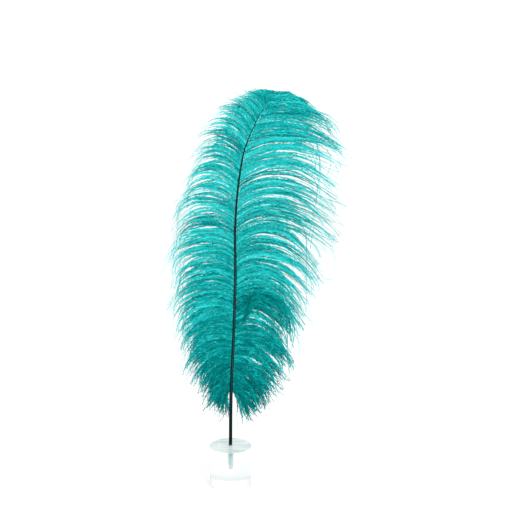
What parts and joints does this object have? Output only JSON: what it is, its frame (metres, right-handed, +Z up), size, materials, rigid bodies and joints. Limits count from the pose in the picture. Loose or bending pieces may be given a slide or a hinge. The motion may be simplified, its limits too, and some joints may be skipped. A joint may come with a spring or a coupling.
{
  "type": "ostrich feather in a holder",
  "caption": "Dyed ostrich plume standing upright, its quill in the drilled socket of a clear cylindrical block, with drooping barbs and a tip that curls over.",
  "frame": {"origin": "centre of the holder's flat underside", "axes": "+Z up along the holder's axis; -Y is the side the plume's convex face looks towards; +X is the side of its wide vane, and its tip curls over towards +Y"},
  "size_m": [0.2109, 0.1388, 0.4704],
  "materials": {
    "clear_acrylic": "polished and clear, with a frosted drilled socket",
    "dyed_horn": "semi-gloss, near black in the quill and dark teal towards the tip",
    "dyed_down": "soft, fine teal barbs and barbules"
  },
  "bodies": {
    "root": {"holder": "clear_acrylic", "shaft": "dyed_horn", "left_vane": "dyed_down", "right_vane": "dyed_down"}
  },
  "joints": []
}
